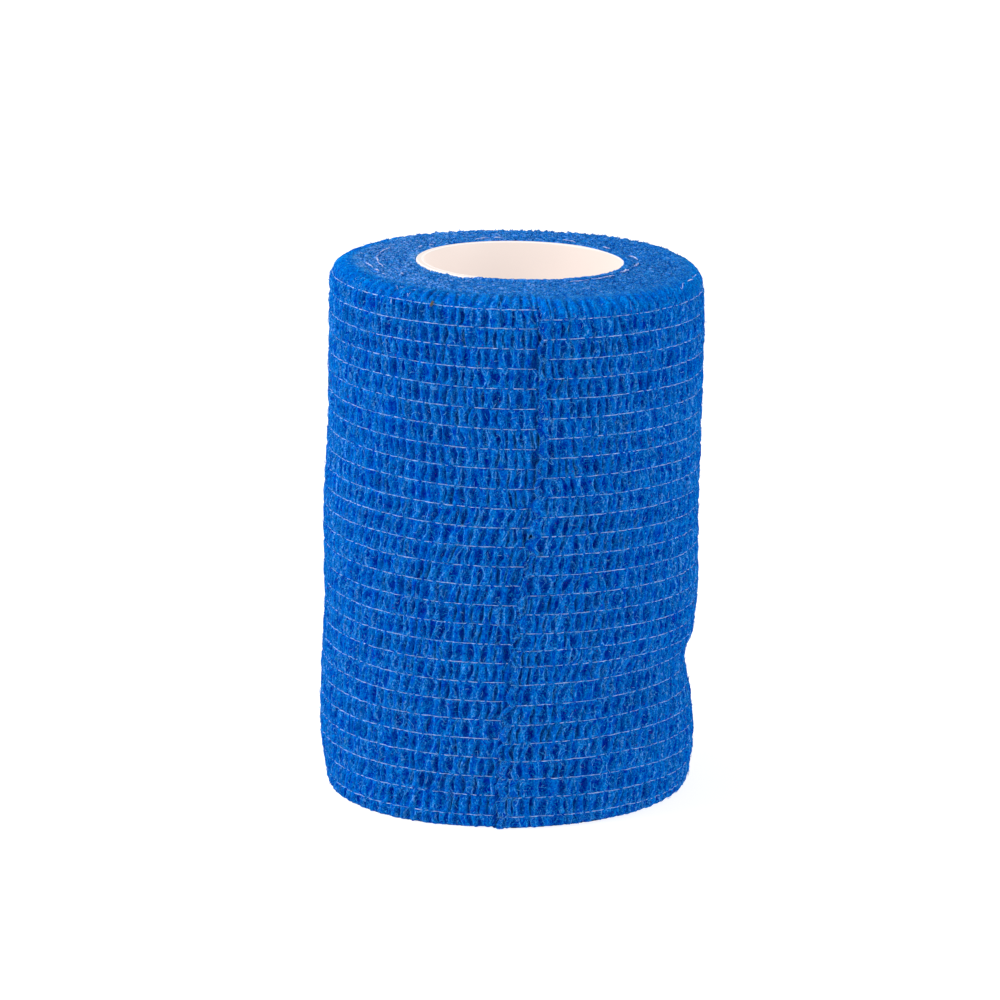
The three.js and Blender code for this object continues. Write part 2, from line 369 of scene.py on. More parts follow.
def ridge_row(ridges, share, columns, slant):
    """One row of the wall, at a share of the way down its band.

    Gives its relief, its painted shade in the hollows, how far each column is inside the
    nearest hollow's edge and how strong that edge's painted highlight is.
    """
    down = share - 0.5
    lens = 4 * down * down
    places = ridges["place"] + ridges["lean"] * down + ridges["bow"] * (lens - 0.5)
    order = np.argsort(places)
    places = places[order]
    half = ridges["half"][order] * (1 + RIDGE_FLARE * lens)
    columns = columns + slant * down
    after = np.clip(np.searchsorted(places, columns), 1, len(places) - 1)
    before = after - 1
    left = places[before] + half[before]
    right = np.maximum(places[after] - half[after], left + NARROWEST_HOLLOW)
    across = np.clip((columns - left) / (right - left), 0, 1)
    hollow = order[before]
    skewed = across ** np.exp(ridges["skew"][hollow])
    shape = np.sin(math.pi * skewed) ** HOLLOW_ROUNDNESS
    from_middle = np.abs(2 * down + ridges["middle"][hollow])
    open_part = np.clip(1 - from_middle ** HOLLOW_ENDS, 0, 1)
    from_left, from_right = columns - left, right - columns
    edge = np.minimum(from_left, from_right)
    shine = np.where(from_left < from_right, ridges["shine_right"][order[before]],
                     ridges["shine_left"][order[after]])
    nearer = np.where(from_left < from_right, before, after)
    on_ridge = np.clip(-edge / half[nearer], 0, 1)
    crest = ridges["height"][order[nearer]] * (1 - (1 - on_ridge) ** 2)
    relief = crest - ridges["depth"][hollow] * shape * open_part
    # Painted shade in the hollow, deepest in its middle and fading at its ends
    painted_shade = np.minimum(shape**SHADE_MIDDLE * open_part * ridges["shade"][hollow], 1)
    return relief, painted_shade, edge, np.clip(shine, 0, 1)


def band_profile(share):
    """How far a band stands out at a share of its height: drawn in at its two threads."""
    arch = 1 - (2 * share - 1) ** 4
    notch = hump(np.minimum(share, 1 - share) * THREAD_PITCH, NOTCH_WIDTH)
    return BAND_BASE + BAND_RISE * arch - NOTCH_DEPTH * notch


def felt_tip(rough, points):
    """How far the felt's fibres stand up, plus painted light that makes the top face paler towards
    the left, where more light falls.
    """
    return rough / FELT_DEPTH - LEFT_PAINTED_LIGHT * points[..., 0] / ROLL_RADIUS


class Wall:
    """The grid of the last turn, from its cut edge round to under that edge again."""

    def __init__(self):
        ridges = lay_ridges(np.random.default_rng(SEEDS["ridges"]))
        lip_angles = np.radians(LIP_ANGLES)
        edge = -EDGE_RADIUS * np.sin(lip_angles)
        inset = EDGE_RADIUS * (1 - np.cos(lip_angles))
        run = np.arange(0, TURN_LENGTH + OVERLAP, COLUMN_STEP)
        self.run = np.concatenate([[edge[0] + 0.05], edge, run])
        self.inset = np.concatenate([[LIP_TUCK], inset, np.zeros(len(run))])
        under = ease(self.run, TURN_LENGTH - 0.2, TURN_LENGTH + 0.6)
        self.inset += UNDER_LIP["sinks"] * under
        self.along = np.maximum(self.run, 0) / TURN_LENGTH
        later = range(1, BANDS)
        self.share = np.array(TOP_STEPS + BAND_STEPS * len(later) + [1.0])
        self.band = np.array([0] * len(TOP_STEPS)
                             + [band for band in later for _ in BAND_STEPS] + [later[-1]])
        self.up = self.heights()
        self.crinkle(ridges)
        self.shape()

    def heights(self):
        """Height up the cloth of every row and column: threads, and even steps between them."""
        along = self.along[None, :]
        azimuth = cut_azimuth(CLOTH_HEIGHT) + 360 * along
        lines = [shoulder_height(azimuth) + TOP_SHOULDER * math.pi / 2 + FOLD]
        lines += [thread_height(thread, along) for thread in range(THREADS)]
        azimuth = cut_azimuth(0) + 360 * along
        lines.append(base_shoulder(azimuth) * (1 - math.pi / 2))
        lines = np.concatenate([np.broadcast_to(line, along.shape) for line in lines])
        share = self.share[:, None]
        return lines[self.band] * (1 - share) + lines[self.band + 1] * share

    def crinkle(self, ridges):
        """Sets relief, painted shade in the hollows, and the distance and painted highlight of the
        hollows' edges.
        """
        rows = []
        lean = LEAN["most"] * hump(self.run - TURN_LENGTH * LEAN["along"],
                                   TURN_LENGTH * LEAN["around"])
        for row, band in enumerate(self.band):
            level = self.up[row]
            spots = np.stack([self.run, level, level * 0], axis=-1)
            columns = self.run + layered_noise(spots, WANDER)
            slant = lean * hump(level - LEAN["height"], LEAN["up"])
            rows.append(ridge_row(ridges[band], self.share[row], columns, slant))
        self.relief, self.painted_shade, self.edge, self.shine = (np.array(part) for part in zip(*rows))
        self.relief += band_profile(self.share)[:, None] - SUNK

    def shape(self):
        """Sets every point on the roll, and the way that the cloth faces there."""
        arch = np.sin(math.pi * self.share)[:, None]
        edge = self.cut_edge(arch)
        run = self.run + edge * hump(np.maximum(self.run, 0), LIP_REACH)
        gap = TURN_LENGTH + edge - self.run
        azimuth = cut_azimuth(self.up) + np.degrees(run / ROLL_RADIUS)
        along = self.along[None, :]
        out, height, slope, inward = folded_point(azimuth, self.up, along)
        out = out - self.inset - UNDER_LIP["pressed"] * (1 - ease(gap, 0, 0.8))
        self.plain = place(out, azimuth, height, inward)
        self.facing = facing_out(azimuth, slope)
        self.roughen(arch, self.up - thread_height(0, along), np.degrees(slope))
        self.relief -= HIDDEN_DEPTH * ease(inward, *HIDDEN_FROM)
        # Painted shade on the cloth beside the lip, where the lip would shade it; weaker higher up
        shaded = UNDER_LIP["shade"] - UNDER_LIP["shade_above"] * ease(self.up, 30, 50)
        self.painted_shade = np.maximum(self.painted_shade, shaded * (1 - ease(gap, 0.1, 1.0)))
        self.points = self.plain + self.facing * self.relief[..., None]
        self.points[..., 2] = np.maximum(self.points[..., 2], LOWEST)

    def roughen(self, arch, above, slope):
        """Turns crinkles to felt over the top, with grain on both, and lifts the lip."""
        self.felt = ease(above, *FELT_STARTS)
        faded = ease(above, *CRINKLES_FADE)
        # Painted light on the fold over the top, which faces up to the light; the felt takes over
        # past it
        self.fold_light = ease(above, *FOLD_STARTS) * (1 - self.felt)
        fade = np.clip(1 - 0.97 * faded - 0.6 * ease(-slope, 30, 85), 0, 1)
        folded = ease(np.abs(slope), 35, 80)
        low, high = LIP_LIFT
        lifted = (low + high * arch) * hump(self.run, LIP_LIFT_REACH)
        lifted = lifted * (1 + layered_noise(self.plain, LIP_UNEVEN))
        lifted[:, self.run < 0] *= 0.6
        rough = layered_noise(self.plain, FELT)
        grain = layered_noise(self.plain, GRAIN)
        self.tip = (felt_tip(rough, self.plain) * self.felt
                    + grain / GRAIN_DEPTH * (1 - self.felt))
        uneven = FELT_RELIEF * rough * self.felt + grain * (1 - self.felt)
        self.relief = self.relief * fade * (1 - FLATTENED * folded) + uneven + lifted
        # Less painted shade where the crinkles fade, and on the fold's painted light
        self.painted_shade = self.painted_shade * fade * (1 - 0.35 * self.fold_light)
        self.shine = self.shine * fade * ease(self.run, 0.0, 0.7)

    def cut_edge(self, arch):
        """How far the cut edge lies right of its line: it bulges left between two threads."""
        level = np.stack([self.up * 0 + 5, self.up * 0, self.up], axis=-1)
        wander = layered_noise(level, EDGE_WAVES)
        least, more = LOBES
        lobe = least + more * (1 - ease(self.up, *LOBES_FADE))
        line = np.interp(self.up, EDGE_LEVELS, EDGE_SHIFTS)
        return wander + line - lobe * arch * (1 + layered_noise(level, LOBES_UNEVEN))


# Meshes

def four_cornered(a, b, c, d):
    """Faces from four arrays of corners."""
    return np.stack([a, b, c, d], axis=-1).reshape(-1, 4)


def face_grid(rows, columns):
    """Four-cornered faces of a grid of points, row by row, facing out on the wall."""
    corner = np.arange(rows * columns).reshape(rows, columns)
    return four_cornered(corner[:-1, :-1], corner[1:, :-1], corner[1:, 1:], corner[:-1, 1:])


def grid_normals(points):
    """The way that a grid of points faces at each of them."""
    return unit(np.cross(np.gradient(points, axis=0), np.gradient(points, axis=1)))


def new_object(name, data):
    thing = bpy.data.objects.new(name, data)
    bpy.context.scene.collection.objects.link(thing)
    return thing


def make_piece(name, points, faces, material, layers=None, normals=None, uv=None):
    """Links a mesh piece made of points in millimetres and faces with like corner counts."""
    points = points.reshape(-1, 3)
    corners = faces.shape[1]
    mesh = bpy.data.meshes.new(name)
    mesh.vertices.add(len(points))
    mesh.vertices.foreach_set("co", (points * MM).astype(np.float32).ravel())
    mesh.loops.add(faces.size)
    mesh.loops.foreach_set("vertex_index", faces.astype(np.int32).ravel())
    mesh.polygons.add(len(faces))
    mesh.polygons.foreach_set("loop_start", np.arange(0, faces.size, corners, dtype=np.int32))
    mesh.update(calc_edges=True)
    mesh.polygons.foreach_set("use_smooth", np.ones(len(faces), bool))
    for layer, values in (layers or {}).items():
        attribute = mesh.attributes.new(layer, "FLOAT", "POINT")
        attribute.data.foreach_set("value", values.astype(np.float32).ravel())
    if uv is not None:
        layer = mesh.uv_layers.new(name="UVMap")
        layer.uv.foreach_set("vector", uv.reshape(-1, 2)[faces.ravel()].astype(np.float32).ravel())
    mesh.validate()
    if normals is not None:
        normals = normals.reshape(-1, 3).astype(np.float32)
        mesh.normals_split_custom_set_from_vertices(normals)
    mesh.materials.append(material)
    piece = new_object(name, mesh)
    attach(piece, "root")
    return piece


# What the last turn tells its material, and the height that its map spans
TURN_LAYERS = ("painted_shade", "felt", "edge", "shine", "tip", "fold_light")
STRIP_HEIGHT = 90


def make_last_turn(wall, material):
    """The last turn of cloth, in two halves that meet at the back."""
    normals = grid_normals(wall.points)
    middle = wall.points.shape[1] // 2
    halves = {"turn_right": slice(0, middle + 1), "turn_left": slice(middle, None)}
    across = np.broadcast_to(wall.run, wall.up.shape) / (TURN_LENGTH + OVERLAP)
    strip = np.stack([across * 0.9 + 0.02, (wall.up + 3) / STRIP_HEIGHT * 0.9], axis=-1)
    for name, part in halves.items():
        points = wall.points[:, part]
        piece = make_piece(name, points, face_grid(*points.shape[:2]), material,
                           {layer: getattr(wall, layer)[:, part] for layer in TURN_LAYERS},
                           normals[:, part], strip[:, part])


# The end faces: the edges of all the turns, pressed into a felt

TOP_RINGS = 96
BASE_RINGS = 22
FACE_COLUMNS = 800
TURN_RELIEF = 0.035
BASE_RELIEF = 0.4
BASE_CLEAR = 0.02
BASE_HOLLOW = 0.3

# Where the top face stands up, lies over the tube's rim and hangs in as a tuft
STANDING = {"azimuth": 2, "around": 42, "rise": 0.42}
LYING = {"azimuth": -30, "around": (58, 98), "reach": 0.92, "clear": 0.16, "relief": 0.45}
TUFT = {"azimuth": -134, "around": 2.2, "rise": 0.12, "reach": 0.3}


def rim_cover(azimuth):
    """How far the cloth lies over the tube's rim: 1 at the right front, 0 at the back."""
    return 1 - ease(np.abs(turn_between(azimuth, LYING["azimuth"])), *LYING["around"])


def face_section(azimuth, along, inward, top):
    """Distance out and height of the plain end face at a share of the way in to the bore."""
    edge = CLOTH_HEIGHT * 1.1 if top else -BASE_SHOULDER
    rim_out, rim_height, _ = wall_point(azimuth, edge + 0 * azimuth, along)
    if top:
        height = top_height(rim_height, inward)
        height = height - HIDDEN_DEPTH * (1 - ease(inward, 0.1, 0.22))
        raised = hump(turn_between(azimuth, STANDING["azimuth"]), STANDING["around"])
        over = rim_cover(azimuth)
        tuft = hump(turn_between(azimuth, TUFT["azimuth"]), TUFT["around"])
    else:
        flat = BASE_CLEAR + np.interp(inward, [0, 0.95, 1], [0, 0, BASE_HOLLOW])
        height = rim_height + (flat - rim_height) * ease(inward, 0, LEVEL_FROM)
        raised = over = tuft = 0 * azimuth
    bore = BORE - LYING["reach"] * over - TUFT["reach"] * tuft
    rise = STANDING["rise"] * raised + TUFT["rise"] * tuft
    height = height + rise * ease(inward, 0.8, 0.97)
    return rim_out + (bore - rim_out) * inward, height


def rest_on_rim(points, plain, azimuth, rough):
    """Raises the felt that lies over the tube's rim onto it."""
    from_tube = np.hypot(plain[..., 0] - TUBE_CENTRE[0], plain[..., 1] - TUBE_CENTRE[1])
    over_rim = TUBE_TOP + LYING["clear"] + LYING["relief"] * rough
    lying = ease(TUBE_RADIUS + 0.15 - from_tube, 0, 0.25)
    lying = lying * ease(rim_cover(azimuth), 0, 0.3)
    points[..., 2] += lying * np.maximum(over_rim - points[..., 2], 0)


def end_face(top, rings):
    """Grid of one end face: its points, and how far its fibres stand up."""
    round_it = np.arange(FACE_COLUMNS) * (360 / FACE_COLUMNS)
    along = (round_it / 360)[None, :]
    edge = CLOTH_HEIGHT if top else 0.0
    inward = np.linspace(-0.02, 1, rings)[:, None]
    azimuth = cut_azimuth(edge) * (1 - inward) - 90 * inward + round_it[None, :]
    out, height = face_section(azimuth, along, np.maximum(inward, 0), top)
    out = out - np.minimum(inward, 0) * 12
    plain = place(out, azimuth, height, np.clip(inward, 0, 1))
    turns = np.cos(2 * math.pi * ((out - BORE) / TURN + along))
    rough = layered_noise(plain, FELT) + TURN_RELIEF * turns * ease(inward, 0.0, 0.2)
    points = plain.copy()
    if top:
        points[..., 2] += FELT_RELIEF * rough
        points[0, :, 2] -= 0.12
        rest_on_rim(points, plain, azimuth, rough)
    else:
        points[..., 2] = np.maximum(points[..., 2] + BASE_RELIEF * np.abs(rough), LOWEST)
    return points, felt_tip(rough, plain)


def make_end_faces(material):
    """Both end faces and the bore, as one closed-round piece. Gives the top face's points."""
    top, top_tip = end_face(True, TOP_RINGS)
    base, base_tip = end_face(False, BASE_RINGS)
    upper = place(BORE + 0 * top[-1, :, 0], -90 + np.arange(FACE_COLUMNS) * 360 / FACE_COLUMNS,
                  TUBE_TOP - 1.0, 1.0)
    lower = upper.copy()
    lower[:, 2] = 1.0
    points = np.concatenate([top, upper[None], lower[None], base[::-1]])
    tip = np.concatenate([top_tip, np.zeros((2, FACE_COLUMNS)), base_tip[::-1]])
    faces = face_grid(len(points), FACE_COLUMNS + 1)[:, ::-1]
    row, column = np.divmod(faces, FACE_COLUMNS + 1)
    faces = row * FACE_COLUMNS + column % FACE_COLUMNS
    layers = {"tip": tip, "felt": tip * 0 + 1}
    piece = make_piece("end_faces", points, faces, material, layers)
    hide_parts("bandage")
    return top


# Threads

THREAD_RADIUS = 0.07
THREAD_STEP = 0.34
THREAD_SIDES = 3
THREAD_START = 0.75
THREAD_WOBBLE = (120, [(9.0, 0.07), (2.6, 0.05), (1.0, 0.02)])
THREAD_UNEVEN = (150, [(1.3, 0.25)])
THREAD_LIFT = 0.06
THREAD_DIP = 0.26


def tube_rings(path, facing, radius, sides):
    """Rings of points round one or more paths of steps."""
    side = unit(np.cross(unit(np.gradient(path, axis=-2)), facing))
    angle = 2 * math.pi * np.arange(sides) / sides
    ring = (side[..., None, :] * np.cos(angle)[:, None]
            + facing[..., None, :] * np.sin(angle)[:, None])
    return path[..., None, :] + ring * radius[..., None, None]


def make_tubes(name, rings, material, layers=None):
    """One piece of tubes with open ends. The axes of rings are tube, step, side and x, y, z."""
    corner = np.arange(rings[..., 0].size).reshape(rings.shape[:3])
    following = np.roll(corner, -1, axis=2)
    faces = four_cornered(corner[:, :-1], corner[:, 1:], following[:, 1:], following[:, :-1])
    return make_piece(name, rings, faces, material, layers)


def covered_part(run, rng):
    """How far a thread is covered by the cloth's fibres, at places on its run."""
    covered = np.zeros(len(run))
    at = rng.uniform(0.5, 2.0)
    while at < run[-1]:
        hidden = hump(run - at, rng.uniform(0.12, 0.28)) * rng.uniform(0.4, 1.0)
        covered = np.maximum(covered, hidden)
        at += rng.gamma(4.0, 0.4)
    return covered


def thread_paths(wall):
    """Where the elastic threads run, on or just in the cloth of the last turn."""
    rng = np.random.default_rng(SEEDS["threads"])
    run = np.arange(THREAD_START, TURN_LENGTH, THREAD_STEP)
    along = run / TURN_LENGTH
    paths, facings, radii = [], [], []
    for thread in range(THREADS):
        row = int(np.flatnonzero((wall.band == thread + 1) & (wall.share == 0))[0])
        level = np.stack([run, run * 0 + 7 * thread, run * 0], axis=-1)
        up = thread_height(thread, along) + layered_noise(level, THREAD_WOBBLE)
        azimuth = cut_azimuth(up) + np.degrees(run / ROLL_RADIUS)
        out, height, slope = wall_point(azimuth, up, along)
        cloth = np.interp(run, wall.run, wall.relief[row])
        lift = THREAD_LIFT - THREAD_DIP * covered_part(run, rng)
        out = out + (cloth + lift) * np.cos(slope)
        height = height + (cloth + lift) * np.sin(slope)
        paths.append(place(out, azimuth, height))
        facings.append(facing_out(azimuth, slope))
        radii.append(THREAD_RADIUS * (1 + layered_noise(level, THREAD_UNEVEN)))
    return np.array(paths), np.array(facings), np.array(radii)


def make_threads(wall, material):
    rings = tube_rings(*thread_paths(wall), THREAD_SIDES)
    piece = make_tubes("elastic_threads", rings, material)


# Bits of thread that show on the top face: azimuth and distance out of their ends, thickness
THREAD_BITS = [
    (154.7, 19.85, 171, 19.8, 0.1), (172, 19.8, 180.5, 19.8, 0.09),
    (180.8, 19.8, 187.0, 19.77, 0.2), (187.2, 19.77, 198.4, 19.63, 0.11),
    (190.6, 21.58, 198.6, 21.25, 0.14), (203, 21.5, 206, 21.4, 0.2),
    (209.5, 21.5, 211.8, 21.45, 0.1), (213.6, 19.42, 215.2, 19.35, 0.17),
    (137.3, 16.42, 140.3, 16.45, 0.18), (145.3, 16.5, 148.3, 16.6, 0.18),
    (97, 17.5, 101, 17.7, 0.15), (103, 17.8, 111, 17.1, 0.13),
    (62, 17.85, 69, 18.2, 0.11), (41.5, 17.8, 45.6, 17.5, 0.15),
    (22.4, 17.33, 12, 17.37, 0.18), (4.9, 17.28, -7, 16.49, 0.22),
    (-15.2, 16.26, -24.8, 15.97, 0.22), (-32, 16.12, -48.3, 15.56, 0.15),
    (-50, 15.6, -62, 15.5, 0.1), (-5, 25.3, -12, 25.1, 0.07),
    (-14.4, 25.36, -18.6, 25.1, 0.14), (-22, 25.1, -25.5, 25.2, 0.07),
    (227, 24.4, 228.2, 24.45, 0.08), (233, 25.1, 234.3, 25.15, 0.08),
]

# A bit of thread that hangs on the wall: azimuth and height of its ends, thickness
WALL_BIT = (-131.3, 73.6, -130.8, 72.8, 0.05)
WALL_BIT_LIFT = 0.14

BIT_STEPS = 14
BIT_SIDES = 6
BIT_BEND = 0.12
BIT_THICKNESS = 0.62
BIT_REACH = 0.45


def surface_heights(ground, azimuth, out):
    """The highest of the top face's points by each place given from the roll's axis."""
    heights = []
    for spot in place(out, azimuth, 0.0):
        apart = np.hypot(ground[:, 0] - spot[0], ground[:, 1] - spot[1])
        heights.append(ground[apart < BIT_REACH, 2].max())
    return np.array(heights)


def bit_on_top(ground, bit, share, rng):
    """The path of a bit of thread that lies on the top face."""
    start, start_out, end, end_out, _ = bit
    azimuth = start + (end - start) * share
    out = start_out + (end_out - start_out) * share
    out = out + BIT_BEND * np.interp(share, np.linspace(0, 1, 6), rng.uniform(-1, 1, 6))
    height = surface_heights(ground, azimuth, out) + 0.04
    height = (height + np.roll(height, 1) + np.roll(height, -1)) / 3
    height[[0, -1]] = height[[1, -2]] - 0.05
    return place(out, azimuth, height)


def make_thread_bits(top, wall, material):
    """Short bent bits of thread on the top face, and one that hangs from the first thread."""
    rng = np.random.default_rng(SEEDS["bits"])
    share = np.linspace(0, 1, BIT_STEPS)
    taper = np.sin(math.pi * np.clip(share, 0.06, 0.94)) ** 0.5
    folded_rows = wall.points[:len(TOP_STEPS) + 2]
    ground = np.concatenate([top.reshape(-1, 3), folded_rows.reshape(-1, 3)])
    rings = []
    for bit in THREAD_BITS:
        path = bit_on_top(ground, bit, share, rng)
        facing = np.broadcast_to([0.0, 0.0, 1.0], path.shape)
        rings.append(tube_rings(path, facing, bit[-1] * BIT_THICKNESS * taper, BIT_SIDES))
    start, start_up, end, end_up, thick = WALL_BIT
    azimuth = start + (end - start) * share
    up = start_up + (end_up - start_up) * share
    out, height, _ = wall_point(azimuth, up, (azimuth - cut_azimuth(up)) / 360 + 1)
    path = place(out + WALL_BIT_LIFT, azimuth, height)
    facing = facing_out(azimuth, 0 * azimuth)
    rings.append(tube_rings(path, facing, thick * taper, BIT_SIDES))
    piece = make_tubes("thread_bits", np.array(rings), material)


# Loose fibres: counts, and their length, radius, lift, angle to the cloth and darkest tint

WALL_FIBRES = 10500
LIP_FIBRES = 500
TOP_FIBRES = 9000
FOLD_FIBRES = 1400
ON_WALL = {"length": (0.4, 1.4), "radius": 0.029, "lift": (-0.03, 0.07), "stand": (-8, 8),
           "darkest": 0.4}
ON_TOP = {"length": (0.18, 0.4), "radius": 0.042, "lift": (-0.08, -0.02), "stand": (5, 50),
          "darkest": 0.0}
FIBRE_BEND = 0.45
FIBRE_TWIST = 0.6
FIBRE_STATIONS = [-0.5, -0.18, 0.18, 0.5]


def fibre_faces(count):
    """Faces of three-sided spindles of eight points: a tip, two rings of three and a tip."""
    pattern = [(0, 1, 2), (0, 2, 3), (0, 3, 1), (7, 5, 4), (7, 6, 5), (7, 4, 6)]
    for a, b in ((1, 2), (2, 3), (3, 1)):
        pattern += [(a, a + 3, b), (b, a + 3, b + 3)]
    return ((np.arange(count) * 8)[:, None, None] + np.array(pattern)[None]).reshape(-1, 3)


def fibre_mesh(name, roots, facing, rng, material, kind):
    """Many short bent fibres on a surface. Tints run from the kind's darkest one to 1."""
    count = len(roots)
    flat = unit(np.cross(facing, rng.normal(size=(count, 3))))
    aside = np.cross(facing, flat)
    angle = np.radians(rng.uniform(*kind["stand"], count))[:, None]
    ahead = flat * np.cos(angle) + facing * np.sin(angle)
    long = rng.uniform(*kind["length"], count)[:, None, None]
    bend = rng.normal(0, FIBRE_BEND, count)[:, None, None]
    twist = rng.normal(0, FIBRE_TWIST, count)[:, None, None]
    rise = (rng.uniform(*kind["lift"], count)[:, None, None]
            + 0.5 * long * np.sin(angle)[:, None])
    share = np.array(FIBRE_STATIONS)[None, :, None]
    path = (roots[:, None] + ahead[:, None] * share * long
            + aside[:, None] * long * (bend * (share * share * 3 - 0.3)
                                       + twist * (share - 4 * share**3))
            + facing[:, None] * (rise + 0.05 * (1 - 4 * share * share)))
    path[..., 2] = np.maximum(path[..., 2], 0.05)
    side = aside[:, None]
    up = np.cross(side, ahead[:, None])
    thick = kind["radius"] * rng.uniform(0.7, 1.3, count)[:, None, None, None]
    around = np.radians([90, 210, 330])[:, None]
    ring = side[:, :, None] * np.cos(around) + up[:, :, None] * np.sin(around)
    rings = path[:, 1:-1, None] + ring * thick
    points = np.concatenate([path[:, :1], rings.reshape(count, 6, 3), path[:, -1:]], axis=1)
    tint = np.repeat(rng.uniform(kind["darkest"], 1, count), 8)
    piece = make_piece(name, points, fibre_faces(count), material, {"tint": tint})


def make_fibres(wall, top, material):
    """Fibres on the wall, at the cut edge, on the top face and on the fold over to it."""
    rng = np.random.default_rng(SEEDS["fibres"])
    rows, columns = wall.points.shape[:2]
    row = rng.integers(8, rows - 3, WALL_FIBRES)
    column = rng.integers(6, columns - 24, WALL_FIBRES)
    sunk = np.clip(wall.relief[row, column], -0.35, 0.1)[:, None]
    roots = wall.plain[row, column] + wall.facing[row, column] * (sunk + 0.04)
    facing = wall.facing[row, column]
    row = rng.integers(8, rows - 3, LIP_FIBRES)
    column = rng.integers(2, 8, LIP_FIBRES)
    roots = np.concatenate([roots, wall.points[row, column]])
    facing = np.concatenate([facing, wall.facing[row, column]])
    fibre_mesh("wall_fibres", roots, facing, rng, material, ON_WALL)
    rings = len(top)
    ring = rng.integers(int(rings * 0.12), int(rings * 0.9), TOP_FIBRES)
    column = rng.integers(0, top.shape[1], TOP_FIBRES)
    row = rng.integers(2, 7, FOLD_FIBRES)
    fold_column = rng.integers(6, columns - 24, FOLD_FIBRES)
    roots = np.concatenate([top[ring, column], wall.points[row, fold_column]])
    facing = np.concatenate([np.tile([0.0, 0.0, 1.0], (TOP_FIBRES, 1)),
                             wall.facing[row, fold_column]])
    fibre_mesh("top_fibres", roots, facing, rng, material, ON_TOP)


# The bit of chaff caught under the first thread

CHAFF = {"azimuth": -116.5, "height": 73.6, "long": 0.75, "thick": 0.15, "flakes": 5,
         "apart": 0.075, "slant": 0.12, "steps": 6, "sides": 5}


def make_chaff(material):
    """A speck of dry husk in the cloth: a few short flakes side by side."""
    rng = np.random.default_rng(SEEDS["chaff"])
    flakes = CHAFF["flakes"]
    share = np.linspace(-0.5, 0.5, CHAFF["steps"])
    along = (CHAFF["azimuth"] - cut_azimuth(CHAFF["height"])) / 360 + 1
    rings = []
    for flake in range(flakes):
        across = (flake - (flakes - 1) / 2) * CHAFF["apart"] + CHAFF["slant"] * share
        azimuth = CHAFF["azimuth"] + np.degrees(across / ROLL_RADIUS)
        level = CHAFF["height"] + rng.normal(0, 0.1) + share * CHAFF["long"]
        out, height, slope = wall_point(azimuth, level, along)
        facing = facing_out(azimuth, slope)
        path = place(out, azimuth, height) + facing * rng.uniform(0.1, 0.2)
        radius = CHAFF["thick"] * rng.uniform(0.35, 0.6) * (1 - (1.8 * share) ** 2)
        rings.append(tube_rings(path, facing, radius, CHAFF["sides"]))
    rings = np.array(rings)
    piece = make_tubes("chaff", rings, material, {"tint": rng.random(rings.shape[:-1])})


# The tube. Its lines on the rims, painted white as highlights where the rims' edges catch the
# light, the two by the bore also raised: distance from the bore and width

TUBE_WALL = 1.1
TUBE_INSIDE = TUBE_RADIUS - TUBE_WALL
RIM_BEND = 0.16
RIM_STEPS = 22
RIM_LINES = [(0.1, 0.035), (0.28, 0.035), (1.03, 0.05)]
LINE_RISE = 0.03
RAISED_WITHIN = 0.5
RIM_SEGMENTS = 176


def tube_section():
    """Half of the tube's section, from the middle of the bore up and over the rim."""
    bend = np.radians(np.linspace(0, 90, 5))
    turn_in, turn_out = RIM_BEND * (1 - np.cos(bend)), RIM_BEND * (1 - np.sin(bend))
    flat = np.linspace(TUBE_INSIDE + RIM_BEND, TUBE_RADIUS - RIM_BEND, RIM_STEPS)[1:-1]
    out = [[TUBE_INSIDE, TUBE_INSIDE], TUBE_INSIDE + turn_in, flat,
           TUBE_RADIUS - turn_in[::-1], [TUBE_RADIUS]]
    up = [[TUBE_TOP / 2, TUBE_TOP - 3.0], TUBE_TOP - turn_out,
          np.full(len(flat), TUBE_TOP), TUBE_TOP - turn_out[::-1], [TUBE_TOP / 2]]
    return np.concatenate(out), np.concatenate(up)


def make_tube(material):
    """The plastic tube: rounded rims with two fine raised lines by the bore and one outside, all
    painted white as highlights.
    """
    out, up = tube_section()
    from_bore = out - TUBE_INSIDE
    line = sum(hump(from_bore - at, wide) for at, wide in RIM_LINES)
    line = line * (up > TUBE_TOP - 0.3)
    up = up + LINE_RISE * line * (from_bore < RAISED_WITHIN)
    out = np.concatenate([out, out[-2:0:-1]])
    line = np.concatenate([line, line[-2:0:-1]])
    up = np.concatenate([up, TUBE_TOP - up[-2:0:-1]])
    around = np.radians(np.arange(RIM_SEGMENTS) * 360 / RIM_SEGMENTS)
    x = TUBE_CENTRE[0] + out[:, None] * np.cos(around)
    y = TUBE_CENTRE[1] + out[:, None] * np.sin(around)
    z = np.broadcast_to(np.maximum(up, 0)[:, None], x.shape)
    points = np.stack([x, y, z], axis=-1)
    corner = np.arange(x.size).reshape(x.shape)
    below = np.roll(corner, -1, axis=0)
    faces = four_cornered(corner, below, np.roll(below, -1, axis=1), np.roll(corner, -1, axis=1))
    line = np.broadcast_to(line[:, None], x.shape)
    rim = ease(z, TUBE_TOP - 0.15, TUBE_TOP - 0.05)
    piece = make_piece("tube", points, faces, material, {"line": line, "rim": rim})
    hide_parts("core")


# Materials

